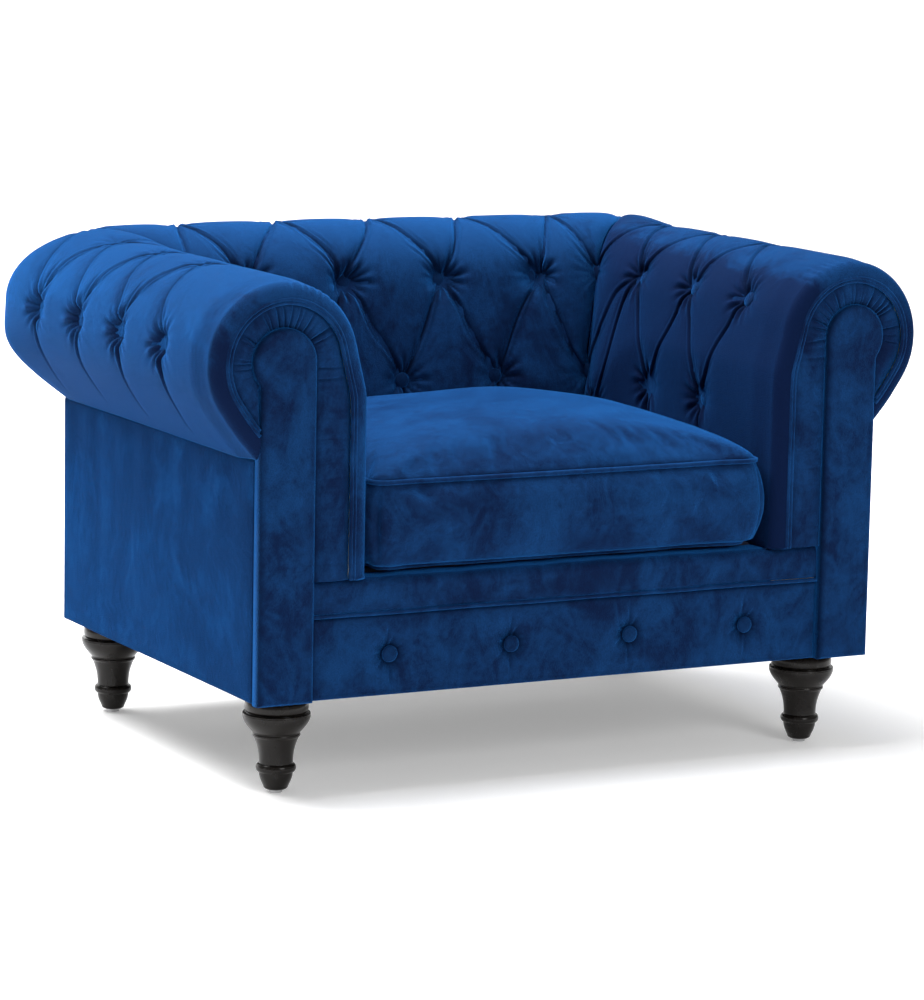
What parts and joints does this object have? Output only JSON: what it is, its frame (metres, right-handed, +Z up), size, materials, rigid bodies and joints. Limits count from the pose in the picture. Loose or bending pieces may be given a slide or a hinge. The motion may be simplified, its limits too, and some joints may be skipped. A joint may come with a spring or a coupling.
{
  "type": "upholstered armchair",
  "caption": "Low-backed rolled-arm armchair with deep-buttoned velvet back and arms, loose seat cushion and turned legs.",
  "frame": {"origin": "on the floor, midway between the arms' outsides and midway between the arm facings and the back roll", "axes": "+X to the right as seen from the front, +Y to the rear, +Z up; the sitter faces -Y"},
  "size_m": [1.1, 0.776, 0.71],
  "materials": {
    "velvet": "cut-pile velvet, royal blue",
    "lacquered_wood": "black-brown gloss lacquer",
    "frame_timber": "planed, unfinished",
    "steel": "zinc plated",
    "foam": "open-cell upholstery foam",
    "liner_card": "grey-brown lining card",
    "felt": "needled felt",
    "deck_cloth": "woven platform cloth",
    "dust_cloth": "spun-bonded cloth",
    "zip_tape": "woven zip tape",
    "glide": "pressed steel"
  },
  "bodies": {
    "chair": {"leg_front_left": "lacquered_wood", "leg_front_right": "lacquered_wood", "leg_rear_left": "lacquered_wood", "leg_rear_right": "lacquered_wood", "leg_glides": "glide", "hanger_bolts": "steel", "tee_nuts": "steel", "leg_blocks": "frame_timber", "front_rail": "frame_timber", "back_rail": "frame_timber", "side_rail_left": "frame_timber", "side_rail_right": "frame_timber", "corner_post_left": "frame_timber", "corner_post_right": "frame_timber", "arm_board_left": "frame_timber", "arm_board_right": "frame_timber", "arm_plank_left": "frame_timber", "arm_plank_right": "frame_timber", "back_plank": "frame_timber", "arm_ribs_left": "frame_timber", "arm_ribs_right": "frame_timber", "back_ribs": "frame_timber", "seat_springs": "steel", "spring_clips": "steel", "insulator_felt": "felt", "deck_pad": "deck_cloth", "dust_cover": "dust_cloth", "arm_liner_left": "liner_card", "arm_liner_right": "liner_card", "back_liner": "liner_card", "arm_foam_left": "foam", "arm_foam_right": "foam", "back_foam": "foam", "arm_cover_left": "velvet", "arm_cover_right": "velvet", "back_cover": "velvet", "arm_panel_left": "velvet", "arm_panel_right": "velvet", "back_panel": "velvet", "facing_panel_left": "velvet", "facing_panel_right": "velvet", "facing_band_left": "velvet", "facing_band_right": "velvet", "facing_welt_left": "velvet", "facing_welt_right": "velvet", "front_lip": "velvet", "front_border": "velvet", "border_welt": "velvet", "back_buttons": "velvet", "arm_buttons_left": "velvet", "arm_buttons_right": "velvet", "border_buttons": "velvet"},
    "seat_cushion": {"cushion_cover": "velvet", "cushion_foam": "foam", "cushion_welts": "velvet", "zip_tape": "zip_tape"},
    "zip_pull": {"zip_slider": "steel"}
  },
  "joints": [
    {"name": "cushion_lift", "type": "slide", "parent": "chair", "child": "seat_cushion", "axis": [0, 0, 1], "range_m": [0, 0.35]},
    {"name": "zip_slide", "type": "slide", "parent": "seat_cushion", "child": "zip_pull", "axis": [1, 0, 0], "range_m": [0, 0.416]}
  ]
}
